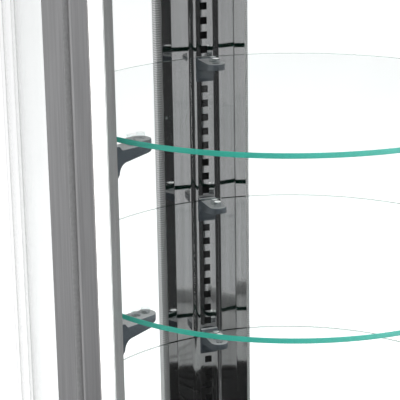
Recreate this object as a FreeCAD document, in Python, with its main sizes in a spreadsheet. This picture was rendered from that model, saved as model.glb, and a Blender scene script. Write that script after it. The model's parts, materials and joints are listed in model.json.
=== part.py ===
"""Round refrigerated display case with curved glazing, a hinged curved door and round glass shelves.

Millimetres. Z is up, the door faces -Y, and the origin is the middle of the footprint on the floor.
Pieces at the rim are drawn at angle 0, with X pointing outward, and turned to their place about Z.
"""
import FreeCAD, Part
import os
import Sketcher
from FreeCAD import Vector

DIMENSIONS = {
    # Overall
    "case_radius": 340, "case_height": 1750, "foot_height": 40, "base_top": 400, "cap_tall": 110,
    "roof_thick": 40, "liner_rim": 20, "shell_wall": 1.5, "fit_gap": 0.3,
    # Glazing
    "lip_cover": 2, "pane_thick": 4, "pane_gap": 10, "spacer_width": 12, "frame_lip": 1.8,
    # Shelves and what carries them
    "shelf_gap": 11, "shelf_thick": 6, "shelf_rise": 195, "shelf_slots": 10, "shelf_count": 5,
    "bumper_radius": 5, "bumper_height": 7, "bumper_inner": 47, "bumper_outer": 33,
    "bracket_length": 58, "bracket_width": 25, "bracket_nose": 8, "bracket_taper": 6, "bracket_neck": 17.5,
    "bracket_toe": 5.5, "bracket_foot": 9.5, "bracket_lug": 5, "bracket_round": 12, "hook_size": 8,
    "hook_depth": 5, "slot_size": 10, "slot_pitch": 20, "slot_margin": 15, "slot_below": 4.5,
    # Jambs beside the door
    "jamb_angle": 65, "jamb_deep": 12, "rail_depth": 14, "rail_half": 15, "rail_wall": 2,
    "gasket_deep": 6, "jamb_wing": 32, "jamb_web": 5.5, "half_seam": 1.5, "jamb_flank": 15,
    "lens_thick": 2.5, "lens_width": 11, "seat_gap": 0.6,
    # Rear column
    "flat_inset": 5.5, "rail_raise": 5, "skin": 1.5, "rear_rail_half": 19, "rear_shoulder": 3,
    "rear_flat_half": 47, "rear_half": 63, "flange_gap": 0.54, "core_half": 50, "core_wall": 3,
    "rear_pane_edge": 54, "cap_thick": 1.7,
    # Door
    "stile_half": 17, "channel_depth": 8, "door_gap": 8, "door_rail": 30, "gasket_base": 10,
    "gasket_tip": 4, "pin_radius": 5, "pin_reach": 22, "running_gap": 0.05, "hinge_plate": 6,
    "hinge_leaf": 44, "hinge_radius": 11, "handle_length": 300, "handle_low": 870, "handle_radius": 8,
    "handle_stand": 24, "handle_post": 5, "handle_inset": 30,
    # Base, deck and feet
    "pan_thick": 3, "boss_radius": 12, "boss_height": 14, "foot_radius": 22, "foot_pad": 14,
    "stem_radius": 5, "stem_length": 62, "foot_inset": 70, "deck_tall": 100, "deck_wall": 42.2,
    "well_floor": 20, "tray_thick": 3, "tray_slots": 24, "vent_long": 44, "vent_tall": 7,
    "vent_pitch": 18, "vent_rows": 6, "vent_step": 10, "vent_columns": 7, "vent_low": 90,
    # Machine space
    "compressor_radius": 72, "compressor_height": 150, "compressor_x": -110, "compressor_y": 70,
    "mount_height": 10, "mount_radius": 11, "plate_thick": 4, "plate_long": 200, "plate_wide": 130,
    "condenser_long": 260, "condenser_deep": 50, "condenser_tall": 150, "condenser_inset": 125,
    "fan_radius": 66, "fan_hub": 22, "fan_deep": 16, "shroud_size": 160, "shroud_deep": 26,
    "shaft_radius": 4, "motor_radius": 26, "motor_long": 46, "blade_thick": 2, "evaporator_long": 300,
    "evaporator_wide": 150, "evaporator_tall": 50, "evaporator_y": 70, "evaporator_fan_y": -110,
    "line_radius": 4, "gate_inset": 20, "line_half": 14, "passage_long": 50, "passage_wide": 24,
    "tray_long": 150, "tray_wide": 90, "tray_tall": 34, "tray_wall": 1.5, "tray_x": 78, "tray_y": 130,
    "box_long": 120, "box_wide": 70, "box_tall": 90, "box_x": 130, "box_y": -60,
    # Controls
    "panel_long": 150, "panel_tall": 46, "panel_deep": 34, "panel_inset": 5, "panel_drop": 68,
    "window_long": 44, "window_tall": 20, "window_thick": 1, "button_long": 8, "button_tall": 8,
    "button_out": 1.5, "button_deep": 6, "button_pitch": 12, "control_gap": 0.4, "rocker_wide": 13,
    "rocker_tall": 19, "rocker_out": 3, "rocker_radius": 10, "rocker_pitch": 21, "rocker_pin": 1.5,
    "pin_bite": 2, "pin_set": 4, "inlet_long": 50, "inlet_tall": 30, "inlet_deep": 24, "inlet_low": 52,
}

doc = FreeCAD.newDocument("display_case")
sheet = doc.addObject("Spreadsheet::Sheet", "d")
for row, (alias, value) in enumerate(DIMENSIONS.items(), 1):
    sheet.set(f"A{row}", alias)
    sheet.set(f"B{row}", str(value))
    sheet.setAlias(f"B{row}", alias)
doc.recompute()
nodes = []

# Places that several pieces share
PANE_OUT = "(d.case_radius - d.lip_cover)"
PANE_IN = f"({PANE_OUT} - 2 * d.pane_thick - d.pane_gap)"
DOOR_OUT = "d.case_radius"
DOOR_IN = f"({PANE_IN} - d.lip_cover)"
DOOR_THICK = f"({DOOR_OUT} - {DOOR_IN})"
JAMB_FRONT = f"({DOOR_IN} - d.gasket_deep)"
LINER = f"({JAMB_FRONT} - d.fit_gap)"
RAIL_FACE = f"({JAMB_FRONT} - d.jamb_deep - d.rail_depth)"
FLAT_FACE = f"({PANE_IN} - d.flat_inset)"
FLANGE_BACK = f"({FLAT_FACE} + d.skin + d.flange_gap - sqrt({PANE_IN} ^ 2 - d.rear_half ^ 2))"
REAR_FACE = f"({FLAT_FACE} - d.rail_raise)"
INNER_WALL = "(d.case_radius - d.shell_wall - d.fit_gap)"
WELL_RADIUS = f"({INNER_WALL} - d.deck_wall)"
LINE_GATE = f"({WELL_RADIUS} - d.gate_inset)"
FOOT_CIRCLE = "(d.case_radius - d.foot_inset)"
PANEL_FACE = "(d.case_radius - d.panel_inset)"
CONDENSER_Y = "(d.condenser_inset - d.case_radius)"
SHELF_RADIUS = f"({RAIL_FACE} - d.shelf_gap)"

PAN_TOP = "(d.foot_height + d.pan_thick)"
DECK_LOW = "(d.base_top - d.deck_tall)"
PANEL_LOW = f"({DECK_LOW} - d.panel_drop)"
ROOF_LOW = "(d.case_height - d.cap_tall - d.roof_thick)"
CASE_TALL = f"({ROOF_LOW} - d.base_top)"
RAIL_LOW = "(d.base_top + d.liner_rim)"
RAIL_TALL = f"({CASE_TALL} - 2 * d.liner_rim)"
DOOR_LOW = "(d.base_top + d.door_gap)"
DOOR_TALL = f"({CASE_TALL} - 2 * d.door_gap)"

SHELF_FIRST = f"({RAIL_LOW} + d.shelf_rise)"
SHELF_PITCH = "(d.shelf_slots * d.slot_pitch)"
BRACKET_DROP = "(d.slot_below + d.slot_pitch + d.bracket_foot)"
HOOK_FIRST = f"({SHELF_FIRST} - d.shelf_thick - d.bumper_height - d.slot_below)"
SLOTS_BELOW = f"floor(({HOOK_FIRST} - {RAIL_LOW} - d.slot_margin) / d.slot_pitch)"
SLOT_FIRST = f"({HOOK_FIRST} - d.slot_pitch * {SLOTS_BELOW})"
SLOT_COUNT = f"(floor(({RAIL_LOW} + {RAIL_TALL} - d.slot_margin - {SLOT_FIRST}) / d.slot_pitch) + 1)"

LEFT = "(270 - d.jamb_angle)"
RIGHT = "(270 + d.jamb_angle)"
REAR = "90"
STILE_TURN = f"(asin((d.half_seam + d.stile_half) / {DOOR_IN}) / 1deg)"
STILE_END = f"(asin((d.half_seam + 2 * d.stile_half) / {DOOR_IN}) / 1deg)"
DOOR_PANE_EDGE = f"(asin((d.half_seam + 2 * d.stile_half - d.channel_depth + 1) / {PANE_IN}) / 1deg)"
FIXED_EDGE_JAMB = f"(asin((d.half_seam + d.jamb_web + 1) / {PANE_IN}) / 1deg)"
FIXED_EDGE_REAR = f"(asin(d.rear_pane_edge / {PANE_IN}) / 1deg)"


def number(expression):
    """Value of an expression of the sheet."""
    value = sheet.evalExpression(expression)
    return float(getattr(value, "Value", value))


def place(obj, x="0", y="0", z="0", turn="0", axis="0; 0; 1", lean="0"):
    """Lean about an axis of its own, move, then turn about the case's axis."""
    about = f"placement(vector(0; 0; 0); rotation(vector(0; 0; 1); {turn}))"
    local = f"placement(vector({x}; {y}; {z}); rotation(vector({axis}); {lean}))"
    obj.setExpression("Placement", f"{about} * {local}")
    return obj


def cylinder(name, radius, height, sweep="360", **where):
    obj = doc.addObject("Part::Cylinder", name)
    obj.setExpression("Radius", radius)
    obj.setExpression("Height", height)
    obj.setExpression("Angle", sweep)
    return place(obj, **where)


def box(name, length, width, height, **where):
    obj = doc.addObject("Part::Box", name)
    obj.setExpression("Length", length)
    obj.setExpression("Width", width)
    obj.setExpression("Height", height)
    return place(obj, **where)


def group(name, members):
    obj = doc.addObject("Part::Compound", name)
    obj.Links = list(members)
    return obj


def fuse(name, *members):
    obj = doc.addObject("Part::MultiFuse", name)
    obj.Shapes = list(members)
    return obj


def cut(name, base, *tools):
    obj = doc.addObject("Part::Cut", name)
    obj.Base = base
    obj.Tool = tools[0] if len(tools) == 1 else group(name + "_tools", tools)
    return obj


def ring(name, outer, inner, height, z, sweep="360", turn="0"):
    """A tube, or a sector of one that starts at an angle."""
    whole = cylinder(name + "_outer", outer, height, sweep, z=z, turn=turn)
    core = cylinder(name + "_core", inner, f"{height} + 2", z=f"{z} - 1")
    return cut(name, whole, core)


def node(obj):
    nodes.append(obj)
    return obj


def draw(sketch, points):
    """Closed outline. A point may carry an arc to the next: a point on it and one centre coordinate."""
    first = sketch.GeometryCount
    count = len(points)
    spots = [Vector(number(p[0]), number(p[1]), 0) for p in points]
    for i, point in enumerate(points):
        start, end = spots[i], spots[(i + 1) % count]
        if len(point) > 2:
            middle = Vector(number(point[2][0]), number(point[2][1]), 0)
            sketch.addGeometry(Part.Arc(start, middle, end), False)
        else:
            sketch.addGeometry(Part.LineSegment(start, end), False)
    ends = []
    for i, point in enumerate(points):
        flipped = len(point) > 2 and sketch.getPoint(first + i, 1).distanceToPoint(spots[i]) > 1e-4
        ends.append((2, 1) if flipped else (1, 2))
    for i in range(count):
        after = (i + 1) % count
        sketch.addConstraint(
            Sketcher.Constraint("Coincident", first + i, ends[i][1], first + after, ends[after][0]))
    for i, point in enumerate(points):
        bind(sketch, "DistanceX", first + i, ends[i][0], point[0])
        bind(sketch, "DistanceY", first + i, ends[i][0], point[1])
        if len(point) > 2:
            bind(sketch, point[2][2], first + i, 3, point[2][3])


def bind(sketch, kind, geometry, spot, expression):
    """Distance from the sketch's origin, tied to the sheet."""
    index = sketch.addConstraint(Sketcher.Constraint(kind, -1, 1, geometry, spot, number(expression)))
    sketch.setExpression(f"Constraints[{index}]", expression)


def section(body, name, plane, *outlines):
    sketch = body.newObject("Sketcher::SketchObject", name)
    support = [o for o in body.Origin.OriginFeatures if o.Role == plane][0]
    sketch.AttachmentSupport = [(support, "")]
    sketch.MapMode = "FlatFace"
    for outline in outlines:
        draw(sketch, outline)
    return sketch


def pad(body, name, sketch, length, both_ways=False):
    feature = body.newObject("PartDesign::Pad", name)
    feature.Profile = sketch
    feature.setExpression("Length", length)
    feature.Midplane = both_ways
    body.Tip = feature
    return feature


def extrusion(name, outlines, length, z="0", turn="0"):
    """A straight upright profile."""
    body = doc.addObject("PartDesign::Body", name)
    pad(body, name + "_pad", section(body, name + "_section", "XY_Plane", *outlines), length)
    return place(body, z=z, turn=turn)


def rectangle(x0, y0, x1, y1):
    return [(x0, y0), (x1, y0), (x1, y1), (x0, y1)]


def mirrored(outline):
    """The same outline for the other jamb."""
    return [(x, f"0 - ({y})") for x, y in outline]


def slots(body, name):
    """Row of square hook slots up the middle of a rail."""
    half = "d.slot_size / 2"
    centre = f"({SLOT_FIRST} - {RAIL_LOW})"
    outline = rectangle(f"0 - {half}", f"{centre} - {half}", half, f"{centre} + {half}")
    sketch = section(body, name + "_slot", "YZ_Plane", outline)
    pocket = body.newObject("PartDesign::Pocket", name + "_pocket")
    pocket.Profile = sketch
    pocket.Type = "ThroughAll"
    pocket.Midplane = True
    row = body.newObject("PartDesign::LinearPattern", name + "_row")
    row.Originals = [pocket]
    row.Direction = (sketch, ["V_Axis"])
    row.setExpression("Length", f"d.slot_pitch * ({SLOT_COUNT} - 1)")
    row.setExpression("Occurrences", SLOT_COUNT)
    body.Tip = row


# Base: pan, vented shell, insulated deck and perforated floor
def base():
    disc = cylinder("pan_disc", INNER_WALL, "d.pan_thick", z="d.foot_height")
    bosses, holes = [], []
    for i in range(4):
        turn = f"45 + 90 * {i}"
        bosses.append(cylinder(f"pan_boss_{i}", "d.boss_radius", "d.pan_thick + d.boss_height", x=FOOT_CIRCLE,
                               z="d.foot_height", turn=turn))
        holes.append(cylinder(f"pan_hole_{i}", "d.stem_radius + d.running_gap",
                              "d.pan_thick + d.boss_height + 2", x=FOOT_CIRCLE, z="d.foot_height - 1",
                              turn=turn))
    node(cut("base_pan", fuse("pan_blank", disc, *bosses), *holes))

    tube = ring("shell_tube", "d.case_radius", "d.case_radius - d.shell_wall", "d.base_top - d.foot_height",
                "d.foot_height")
    cuts = []
    for side, turn in (("front", 270), ("back", 90)):
        for row in range(int(number("d.vent_rows"))):
            for column in range(int(number("d.vent_columns"))):
                cuts.append(box(f"vent_{side}_{row}_{column}", "20", "d.vent_long", "d.vent_tall",
                                x="d.case_radius - 10", y="0 - d.vent_long / 2",
                                z=f"d.vent_low + d.vent_pitch * {row}",
                                turn=f"{turn} + d.vent_step * ({column} - (d.vent_columns - 1) / 2)"))
    gap = "d.control_gap"
    cuts.append(box("panel_opening", "60", f"d.panel_long + 2 * {gap}", f"d.panel_tall + 2 * {gap}",
                    x="d.case_radius - 40", y=f"0 - d.panel_long / 2 - {gap}", z=f"{PANEL_LOW} - {gap}",
                    turn="270"))
    cuts.append(box("inlet_opening", "60", f"d.inlet_long + 2 * {gap}", f"d.inlet_tall + 2 * {gap}",
                    x="d.case_radius - 40", y=f"0 - d.inlet_long / 2 - {gap}", z=f"d.inlet_low - {gap}",
                    turn="135"))
    node(cut("base_shell", tube, *cuts))

    block = cylinder("deck_block", INNER_WALL, f"d.base_top - {DECK_LOW}", z=DECK_LOW)
    well = cylinder("deck_well", WELL_RADIUS, "d.base_top", z=f"{DECK_LOW} + d.well_floor")
    passage = box("deck_passage", "d.passage_long", "d.passage_wide", "d.well_floor + 2",
                  x="0 - d.passage_long / 2", y=f"{LINE_GATE} - d.passage_wide / 2", z=f"{DECK_LOW} - 1")
    node(cut("foam_deck", block, well, passage))

    rim_top = "(d.base_top + d.liner_rim)"
    rim = ring("tray_rim", LINER, f"{WELL_RADIUS} - 12", "d.liner_rim", "d.base_top")
    plate = cylinder("tray_plate", f"{WELL_RADIUS} - 11", "d.tray_thick", z=f"{rim_top} - d.tray_thick")
    tray = fuse("tray_blank", rim, plate)
    count = int(number("d.tray_slots"))
    air = []
    for i in range(count):
        air.append(box(f"air_out_{i}", "70", "8", "d.tray_thick + 2", x=f"{WELL_RADIUS} - 100", y="0 - 4",
                       z=f"{rim_top} - d.tray_thick - 1", turn=f"360 / {count} * {i}"))
        air.append(box(f"air_in_{i}", "90", "5", "d.tray_thick + 2", x="60", y="0 - 2.5",
                       z=f"{rim_top} - d.tray_thick - 1", turn=f"360 / {count} * ({i} + 0.5)"))
    notches = jamb_notches("tray", "d.base_top - 1", "d.liner_rim + 2")
    node(cut("floor_tray", tray, *air, *notches))


def jamb_notches(name, z, height):
    """Room in the floor or the roof plug for the jambs."""
    tools = []
    for side, turn, start in (("left", LEFT, "0 - d.jamb_wing - d.fit_gap"),
                              ("right", RIGHT, "0 - d.jamb_flank - d.lens_thick - d.fit_gap")):
        tools.append(box(f"{name}_notch_{side}", "60",
                         "d.jamb_wing + d.jamb_flank + d.lens_thick + 2 * d.fit_gap",
                         height, x=f"{RAIL_FACE} + d.rail_depth - d.fit_gap", y=start, z=z, turn=turn))
    return tools


# Four levelling feet that screw through the pan
def feet():
    for i in range(4):
        turn = f"45 + 90 * {i}"
        disc = cylinder(f"foot_pad_{i}", "d.foot_radius", "d.foot_pad", x=FOOT_CIRCLE, turn=turn)
        stem = cylinder(f"foot_stem_{i}", "d.stem_radius", "d.stem_length", x=FOOT_CIRCLE, z="d.foot_pad - 1",
                        turn=turn)
        node(fuse(f"levelling_foot_{i + 1}", disc, stem))


# Aluminium jamb, its slotted rail and the lamp lens on its flank
def jambs():
    wing, seam = "0 - d.jamb_wing", "0 - d.half_seam"
    web = f"{seam} - d.jamb_web"
    seat = f"(sqrt({PANE_IN} ^ 2 - d.jamb_wing ^ 2) - d.seat_gap)"
    lip = f"{PANE_OUT} + 0.2"
    outline = [(f"{RAIL_FACE} + d.rail_depth", wing), (seat, wing), (seat, web), (lip, web),
               (lip, f"{wing} - 2"), (f"{lip} + d.frame_lip", f"{wing} - 2"),
               (f"{lip} + d.frame_lip", seam), (JAMB_FRONT, seam),
               (JAMB_FRONT, "d.jamb_flank"), (f"{RAIL_FACE} + d.rail_depth", "d.jamb_flank")]
    face, back = RAIL_FACE, f"{RAIL_FACE} + d.rail_depth"
    inner, half = f"{RAIL_FACE} + d.rail_wall", "d.rail_half"
    channel = [(face, f"0 - {half}"), (back, f"0 - {half}"), (back, f"d.rail_wall - {half}"),
               (inner, f"d.rail_wall - {half}"), (inner, f"{half} - d.rail_wall"),
               (back, f"{half} - d.rail_wall"), (back, half), (face, half)]
    rails, lenses = [], []
    for side, turn, shape in (("left", LEFT, outline), ("right", RIGHT, mirrored(outline))):
        node(extrusion(f"{side}_jamb", [shape], CASE_TALL, "d.base_top", turn))
        rail = extrusion(f"{side}_rail", [channel], RAIL_TALL, RAIL_LOW, turn)
        slots(rail, f"{side}_rail")
        rails.append(rail)
        start = "d.jamb_flank" if side == "left" else "0 - d.jamb_flank - d.lens_thick"
        lenses.append(box(f"{side}_lens", "d.lens_width", "d.lens_thick", f"{RAIL_TALL} - 20",
                          x=f"{RAIL_FACE} + d.rail_depth + 0.5", y=start, z=f"{RAIL_LOW} + 10", turn=turn))
    node(group("jamb_rails", rails))
    node(group("led_lenses", lenses))


# Polished slotted cover, hollow back profile and outer cap of the rear column
def rear_column():
    flat, face, skin = FLAT_FACE, REAR_FACE, "d.skin"
    rail, foot = "d.rear_rail_half", "(d.rear_rail_half + d.rear_shoulder)"
    lean = "d.skin * 0.57"
    near = [(f"{flat} - {FLANGE_BACK}", "d.rear_half"), (flat, "d.rear_flat_half"), (flat, foot),
            (face, rail)]
    far = [(f"{face} + {skin}", f"{rail} - {lean}"), (f"{flat} + {skin}", f"{foot} - {lean}"),
           (f"{flat} + {skin}", "d.rear_flat_half"), (f"{flat} + {skin} - {FLANGE_BACK}", "d.rear_half")]
    flip = [(x, f"0 - ({y})") for x, y in near]
    flip_far = [(x, f"0 - ({y})") for x, y in far]
    outline = near + flip[::-1] + flip_far[::-1] + far
    cover = extrusion("rear_column_cover", [outline], RAIL_TALL, RAIL_LOW, REAR)
    slots(cover, "rear_column_cover")
    node(cover)

    front = f"{FLAT_FACE} + d.skin + d.fit_gap"
    shoulder = f"sqrt({PANE_OUT} ^ 2 - d.core_half ^ 2)"
    wall, half = "d.core_wall", "d.core_half"
    shell = [(front, f"0 - {half}"), (shoulder, f"0 - {half}"), (f"{PANE_OUT} + 0.1", "0"), (shoulder, half),
             (front, half)]
    hollow = rectangle(f"{front} + {wall}", f"{wall} - {half}", f"{shoulder} - 1", f"{half} - {wall}")
    node(extrusion("rear_column_back", [shell, hollow], CASE_TALL, "d.base_top", REAR))
    edge = "(asin(d.rear_half / d.case_radius) / 1deg)"
    inner = f"{PANE_OUT} + d.fit_gap"
    node(ring("rear_column_cap", f"{inner} + d.cap_thick", inner, CASE_TALL, "d.base_top", f"2 * {edge}",
              f"90 - {edge}"))


# Fixed curved double panes on both sides, with spacers and seals
def fixed_glazing():
    sweep = f"(180 - d.jamb_angle - {FIXED_EDGE_JAMB} - {FIXED_EDGE_REAR})"
    starts = {"left": f"90 + {FIXED_EDGE_REAR}", "right": f"270 + d.jamb_angle + {FIXED_EDGE_JAMB}"}
    spacers, seals = [], []
    mid = f"{PANE_IN} + d.pane_thick"
    edge = f"(asin(d.spacer_width / {PANE_IN}) / 1deg)"
    wing = f"(asin((d.jamb_wing + 3) / {LINER}) / 1deg - {FIXED_EDGE_JAMB})"
    for side, start in starts.items():
        seal_start = f"{start} + 3" if side == "left" else f"{start} + {wing}"
        node(ring(f"{side}_pane_inner", mid, PANE_IN, CASE_TALL, "d.base_top", sweep, start))
        node(ring(f"{side}_pane_outer", PANE_OUT, f"{PANE_OUT} - d.pane_thick", CASE_TALL, "d.base_top",
                  sweep, start))
        frame = ring(f"{side}_spacer_band", f"{mid} + d.pane_gap - 0.1", f"{mid} + 0.1", CASE_TALL,
                     "d.base_top", sweep, start)
        window = ring(f"{side}_spacer_window", f"{mid} + d.pane_gap + 1", f"{mid} - 1",
                      f"{CASE_TALL} - 2 * d.spacer_width", "d.base_top + d.spacer_width",
                      f"{sweep} - 2 * {edge}", f"{start} + {edge}")
        spacers.append(cut(f"{side}_spacer", frame, window))
        for level, z in (("low", "d.base_top"), ("high", f"{ROOF_LOW} - d.liner_rim + 4")):
            seals.append(ring(f"{side}_seal_{level}", f"{PANE_IN} - 0.2", f"{LINER} + 0.2",
                              "d.liner_rim - 4", z, f"{sweep} - 3 - {wing}", seal_start))
    node(group("glass_spacers", spacers))
    node(group("glass_seals", seals))


# Insulated roof with a plug that closes the chamber, and the drum on top
def roof():
    slab = cylinder("roof_disc", "d.case_radius", "d.roof_thick", z=ROOF_LOW)
    plug = cylinder("roof_plug", LINER, "d.liner_rim", z=f"{ROOF_LOW} - d.liner_rim")
    notches = jamb_notches("roof", f"{ROOF_LOW} - d.liner_rim - 1", "d.liner_rim + 1")
    node(fuse("roof_slab", slab, cut("roof_plug_notched", plug, *notches)))
    low = f"({ROOF_LOW} + d.roof_thick)"
    drum = cylinder("cap_drum", "d.case_radius", f"d.case_height - {low}", z=low)
    inside = cylinder("cap_inside", "d.case_radius - d.shell_wall", f"d.case_height - {low} - d.shell_wall",
                      z=low)
    node(cut("top_cap", drum, inside))


# One moulded bracket, hung by two hooks, repeated under every shelf at the three rails
def brackets():
    body = doc.addObject("PartDesign::Body", "shelf_bracket")
    drop, tip = f"0 - {BRACKET_DROP}", "0 - d.bracket_length"
    neck, toe = "0 - d.bracket_neck", "0 - d.bracket_toe"
    nose, under = "0 - d.bracket_nose", "0 - d.bracket_nose - d.bracket_taper"
    curve = "(d.bracket_neck - d.bracket_toe)"
    bend = (f"{neck} + 0.7071 * {curve}", f"{under} - 0.2929 * {curve}", "DistanceX", neck)
    side = [("0", "d.bracket_lug"), ("0 - 6", "d.bracket_lug"), ("0 - 10", "0"), (tip, "0"), (tip, nose),
            (neck, under, bend), (toe, f"{under} - {curve}"), ("0", drop)]
    arm = pad(body, "bracket_arm", section(body, "bracket_side", "XZ_Plane", side), "d.bracket_width", True)
    half, size = "d.hook_size / 2", "d.hook_size"
    low = "0 - d.slot_below - d.slot_size / 2"
    hooks = [rectangle(f"0 - {half}", f"{low} - {drop_by}", half, f"{low} - {drop_by} + {size}")
             for drop_by in ("0", "d.slot_pitch")]
    pad(body, "bracket_hooks", section(body, "bracket_hook_ends", "YZ_Plane", *hooks), "d.hook_depth")
    doc.recompute()
    reach = number("d.bracket_length")
    tip = body.Tip
    edges = [f"Edge{i}" for i, edge in enumerate(tip.Shape.Edges, 1)
             if all(abs(v.X + reach) < 0.01 for v in edge.Vertexes)
             and abs(edge.Vertexes[0].Y - edge.Vertexes[-1].Y) < 0.01]
    rounding = body.newObject("PartDesign::Fillet", "bracket_nose_round")
    rounding.Base = (tip, edges)
    rounding.setExpression("Radius", "d.bracket_round")
    body.Tip = rounding

    copies, dots = [], []
    for level in range(int(number("d.shelf_count"))):
        top = f"({SHELF_FIRST} + {SHELF_PITCH} * {level} - d.shelf_thick - d.bumper_height)"
        for spot, face, turn in (("left", RAIL_FACE, LEFT), ("right", RAIL_FACE, RIGHT),
                                 ("rear", REAR_FACE, REAR)):
            copy = doc.addObject("App::Link", f"bracket_{spot}_{level + 1}")
            copy.LinkedObject = body
            copies.append(place(copy, x=face, z=top, turn=turn))
            for where in ("inner", "outer"):
                dots.append(cylinder(f"bumper_{spot}_{level + 1}_{where}", "d.bumper_radius", "d.bumper_height",
                                     x=f"{face} - d.bumper_{where}", z=top, turn=turn))
    node(group("shelf_brackets", copies))
    node(group("bumpers", dots))


def shelves():
    for level in range(int(number("d.shelf_count"))):
        node(cylinder(f"glass_shelf_{level + 1}", SHELF_RADIUS, "d.shelf_thick",
                      z=f"{SHELF_FIRST} + {SHELF_PITCH} * {level} - d.shelf_thick"))


# Hinged curved door: stiles, rails, double pane, spacer, gasket and handle
def door():
    near, far, half = DOOR_IN, DOOR_OUT, "d.stile_half"
    middle, round_at = f"({DOOR_IN} + {DOOR_THICK} / 2)", f"({DOOR_THICK} / 2 - d.stile_half)"
    low, high = f"{PANE_IN} - 0.7", f"{PANE_OUT} + 0.2"
    bottom = f"{half} - d.channel_depth"
    hinge_side = [(near, round_at, (middle, f"0 - {half}", "DistanceY", round_at)), (far, round_at),
                  (far, half), (high, half), (high, bottom), (low, bottom), (low, half), (near, half)]
    lock_side = [(near, f"0 - {half}"), (low, f"0 - {half}"), (low, f"0 - ({bottom})"),
                 (high, f"0 - ({bottom})"), (high, f"0 - {half}"), (far, f"0 - {half}"),
                 (far, f"{half} - 2"), (f"{far} - 2", half), (near, half)]
    hinge_turn, lock_turn = f"{LEFT} + {STILE_TURN}", f"{RIGHT} - {STILE_TURN}"
    stile = extrusion("hinge_stile_bar", [hinge_side], DOOR_TALL, DOOR_LOW, hinge_turn)
    ends = {"low": f"{DOOR_LOW} - 1", "high": f"{DOOR_LOW} + {DOOR_TALL} - d.pin_reach - 1"}
    bores = [cylinder(f"hinge_bore_{name}", "d.pin_radius + d.running_gap", "d.pin_reach + 2", x=middle,
                      y=round_at, z=z, turn=hinge_turn)
             for name, z in ends.items()]
    node(cut("door_hinge_stile", stile, *bores))
    node(extrusion("door_lock_stile", [lock_side], DOOR_TALL, DOOR_LOW, lock_turn))

    half_rail = f"(d.jamb_angle - {STILE_END} - 0.02)"
    rail_start, rail_sweep = f"270 - {half_rail}", f"2 * {half_rail}"
    pane_half = f"(d.jamb_angle - {DOOR_PANE_EDGE})"
    pane_start, pane_sweep = f"270 - {pane_half}", f"2 * {pane_half}"
    pane_low = f"({DOOR_LOW} + d.door_rail - d.channel_depth)"
    pane_tall = f"({DOOR_TALL} - 2 * d.door_rail + 2 * d.channel_depth)"
    levels = {"bottom": (DOOR_LOW, f"{pane_low} - 0.2"),
              "top": (f"{DOOR_LOW} + {DOOR_TALL} - d.door_rail",
                      f"{DOOR_LOW} + {DOOR_TALL} - d.door_rail - 1")}
    for name, (z, groove_z) in levels.items():
        bar = ring(f"{name}_rail_bar", far, near, "d.door_rail", z, rail_sweep, rail_start)
        groove = ring(f"{name}_rail_groove", f"{PANE_OUT} + 0.15", f"{PANE_IN} - 0.15",
                      "d.channel_depth + 1.2", groove_z, pane_sweep, pane_start)
        node(cut(f"door_{name}_rail", bar, groove))

    mid = f"{PANE_IN} + d.pane_thick"
    node(ring("door_pane_inner", mid, PANE_IN, pane_tall, pane_low, pane_sweep, pane_start))
    node(ring("door_pane_outer", PANE_OUT, f"{PANE_OUT} - d.pane_thick", pane_tall, pane_low, pane_sweep,
              pane_start))
    edge = f"(asin(d.spacer_width / {PANE_IN}) / 1deg)"
    band = ring("door_spacer_band", f"{mid} + d.pane_gap - 0.1", f"{mid} + 0.1", pane_tall, pane_low,
                pane_sweep, pane_start)
    window = ring("door_spacer_window", f"{mid} + d.pane_gap + 1", f"{mid} - 1",
                  f"{pane_tall} - 2 * d.spacer_width", f"{pane_low} + d.spacer_width",
                  f"{pane_sweep} - 2 * {edge}", f"{pane_start} + {edge}")
    node(cut("door_spacer", band, window))

    gasket(near)
    handle(far, lock_turn)


def gasket(near):
    """Magnetic seal on the door's inner face, tapering to the jambs and the liner."""
    seal_low, seal_tall = f"({DOOR_LOW} + 1)", f"({DOOR_TALL} - 2)"
    tip = f"{JAMB_FRONT} + 2 * d.fit_gap"
    pivot = f"(d.half_seam + {DOOR_THICK} / 2)"
    base_low, base_high = f"({pivot} - d.gasket_base / 2 - 1)", f"({pivot} + d.gasket_base / 2 - 1)"
    tip_low, tip_high = f"{pivot} - d.gasket_tip / 2", f"{pivot} + d.gasket_tip / 2"
    seat = f"{near} - 0.5"
    strip = [(seat, base_low), (seat, base_high), (tip, tip_high), (tip, tip_low)]
    pieces = [extrusion("gasket_left", [strip], seal_tall, seal_low, LEFT),
              extrusion("gasket_right", [mirrored(strip)], seal_tall, seal_low, RIGHT)]
    half = f"(d.jamb_angle - asin({pivot} / {JAMB_FRONT}) / 1deg)"
    for name, z in (("low", seal_low), ("high", f"{seal_low} + {seal_tall} - d.gasket_base")):
        pieces.append(ring(f"gasket_{name}", f"{near} - 0.1", f"{LINER} + 3 * d.fit_gap", "d.gasket_base", z,
                           f"2 * {half}", f"270 - {half}"))
    node(fuse("door_gasket", *pieces))


def handle(face, turn):
    """Round pull bar on two posts."""
    axis = f"({face} + d.handle_stand + d.handle_radius)"
    bar = cylinder("handle_bar", "d.handle_radius", "d.handle_length", x=axis, z="d.handle_low", turn=turn)
    posts = [cylinder(f"handle_post_{name}", "d.handle_post", "d.handle_stand + d.handle_radius", x=face, z=z,
                      turn=turn, axis="0; 1; 0", lean="90")
             for name, z in (("low", "d.handle_low + d.handle_inset"),
                             ("high", "d.handle_low + d.handle_length - d.handle_inset"))]
    node(fuse("door_handle", bar, *posts))


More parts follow.
